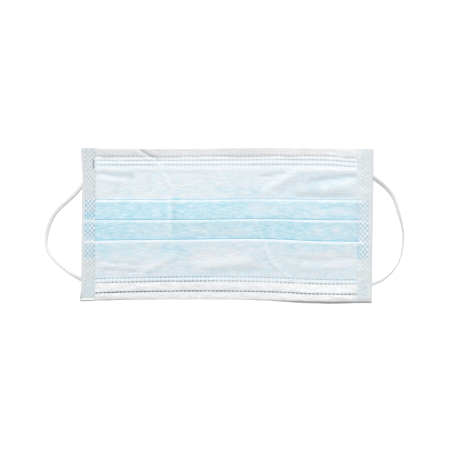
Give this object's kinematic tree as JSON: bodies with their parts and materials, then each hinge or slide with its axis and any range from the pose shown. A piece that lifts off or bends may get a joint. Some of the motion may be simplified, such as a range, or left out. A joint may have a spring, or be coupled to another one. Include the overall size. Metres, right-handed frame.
{
  "type": "surgical face mask",
  "caption": "Rectangular pleated cloth face mask lying flat, with folded hems, welded side binding tapes and elastic ear loops.",
  "frame": {"origin": "middle of the mask's footprint without the ear loops, on the surface that it lies on", "axes": "+X along the pleats to the right side binding, +Y to the chin hem, +Z out of the front (outer) face"},
  "size_m": [0.2167, 0.0931, 0.0078],
  "materials": {
    "blue_nonwoven": "matte pale blue spunbond nonwoven, white on its inner side",
    "white_nonwoven": "matte white spunbond nonwoven, folded over the edge",
    "binding_nonwoven": "thin white nonwoven tape with rows of weld points, slightly see-through",
    "white_elastic": "soft knitted white elastic"
  },
  "bodies": {
    "root": {"pleated_sheet": "blue_nonwoven", "chin_hem": "white_nonwoven", "nose_hem": "white_nonwoven", "left_binding": "binding_nonwoven", "right_binding": "binding_nonwoven", "left_ear_loop": "white_elastic", "right_ear_loop": "white_elastic"}
  },
  "joints": []
}
